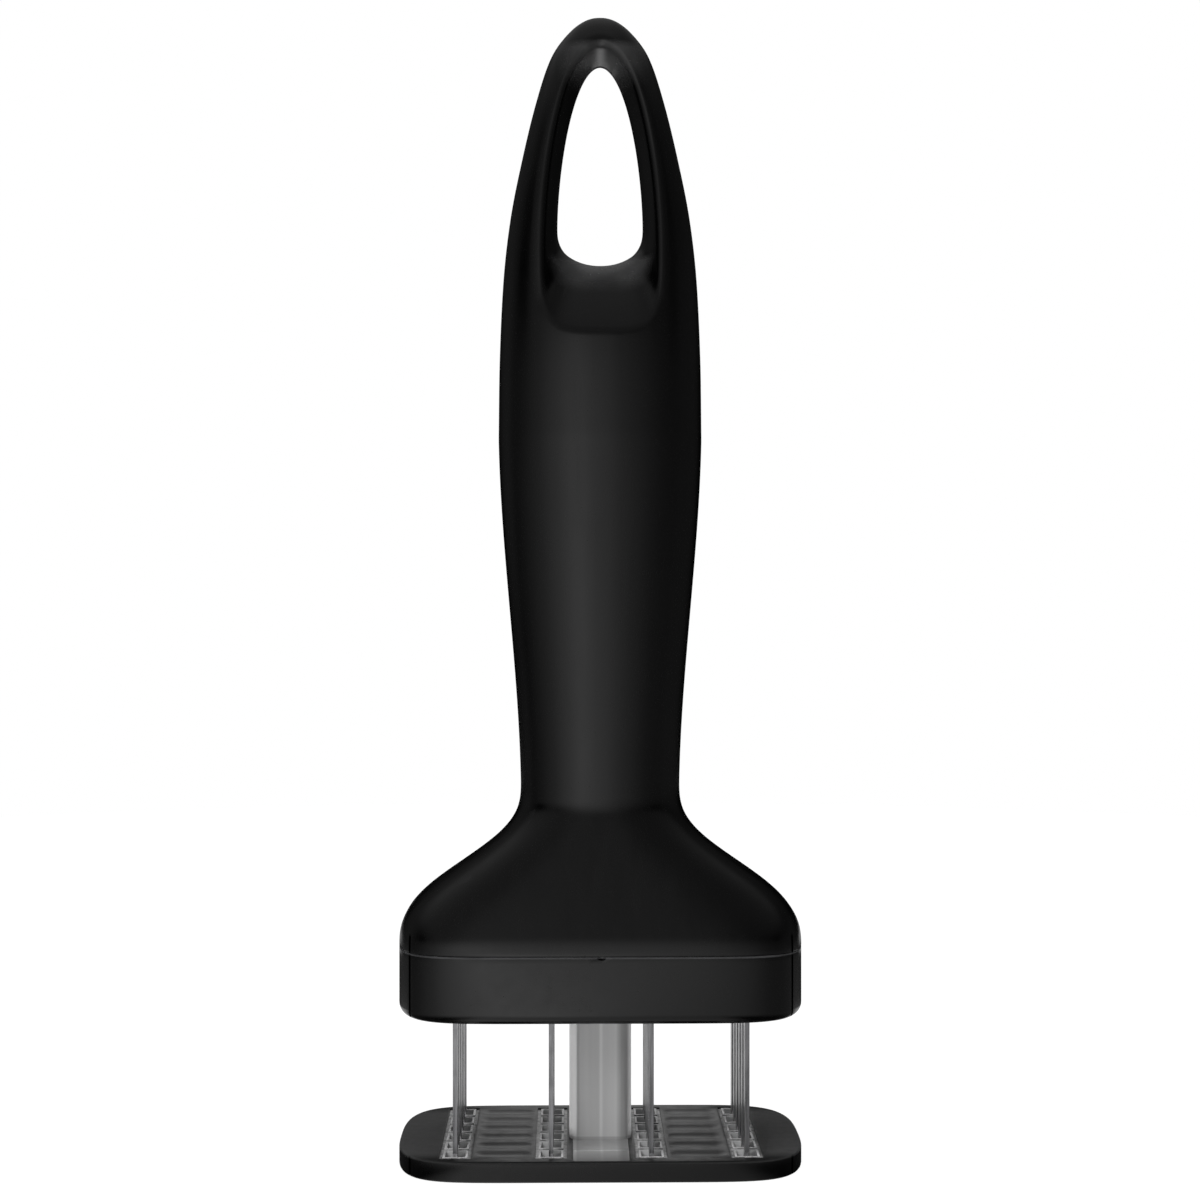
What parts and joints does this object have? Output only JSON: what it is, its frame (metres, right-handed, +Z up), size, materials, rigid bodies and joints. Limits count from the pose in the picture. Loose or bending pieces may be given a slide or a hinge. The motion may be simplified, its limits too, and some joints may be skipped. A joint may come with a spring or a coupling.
{
  "type": "blade meat tenderizer",
  "caption": "Hand-held blade meat tenderizer: slim handle with a hanging loop, flared head with thin blades, and a sprung foot plate that guards their tips.",
  "frame": {"origin": "middle of the foot plate's underside, on the surface that the tool stands on", "axes": "+Z up along the handle and the plunger, +X along the head's width, the pictured front faces -Y"},
  "size_m": [0.0692, 0.038, 0.1978],
  "materials": {
    "handle_plastic": "semi-gloss moulded black",
    "skirt_plastic": "semi-gloss moulded black",
    "foot_plastic": "semi-gloss moulded black",
    "carrier_plastic": "moulded black",
    "post_plastic": "pale translucent moulded plastic",
    "blade_steel": "ground stainless strip",
    "plate_steel": "pressed stainless sheet",
    "spring_steel": "drawn stainless wire",
    "screw_steel": "plated screws"
  },
  "bodies": {
    "handle": {"handle_front_shell": "handle_plastic", "handle_rear_shell": "handle_plastic", "head_skirt": "skirt_plastic", "blade_carrier": "carrier_plastic", "clamp_plate": "plate_steel", "carrier_screws": "screw_steel", "skirt_screws": "screw_steel", "return_spring": "spring_steel", "blade_c1_r1": "blade_steel", "blade_c1_r2": "blade_steel", "blade_c1_r3": "blade_steel", "blade_c1_r4": "blade_steel", "blade_c1_r5": "blade_steel", "blade_c1_r6": "blade_steel", "blade_c2_r1": "blade_steel", "blade_c2_r2": "blade_steel", "blade_c2_r3": "blade_steel", "blade_c2_r4": "blade_steel", "blade_c2_r5": "blade_steel", "blade_c2_r6": "blade_steel", "blade_c3_r1": "blade_steel", "blade_c3_r2": "blade_steel", "blade_c3_r3": "blade_steel", "blade_c3_r4": "blade_steel", "blade_c3_r5": "blade_steel", "blade_c3_r6": "blade_steel", "blade_c4_r1": "blade_steel", "blade_c4_r2": "blade_steel", "blade_c4_r3": "blade_steel", "blade_c4_r4": "blade_steel", "blade_c4_r5": "blade_steel", "blade_c4_r6": "blade_steel"},
    "foot": {"foot_plate": "foot_plastic", "plunger_post": "post_plastic", "foot_screw": "screw_steel", "stop_washer": "plate_steel", "stop_screw": "screw_steel"}
  },
  "joints": [
    {"name": "foot_slide", "type": "slide", "parent": "handle", "child": "foot", "axis": [0, 0, 1], "range_m": [0, 0.022], "stiffness_N_per_m": 1000, "springref_m": -0.01, "deforming": ["return_spring"]}
  ]
}
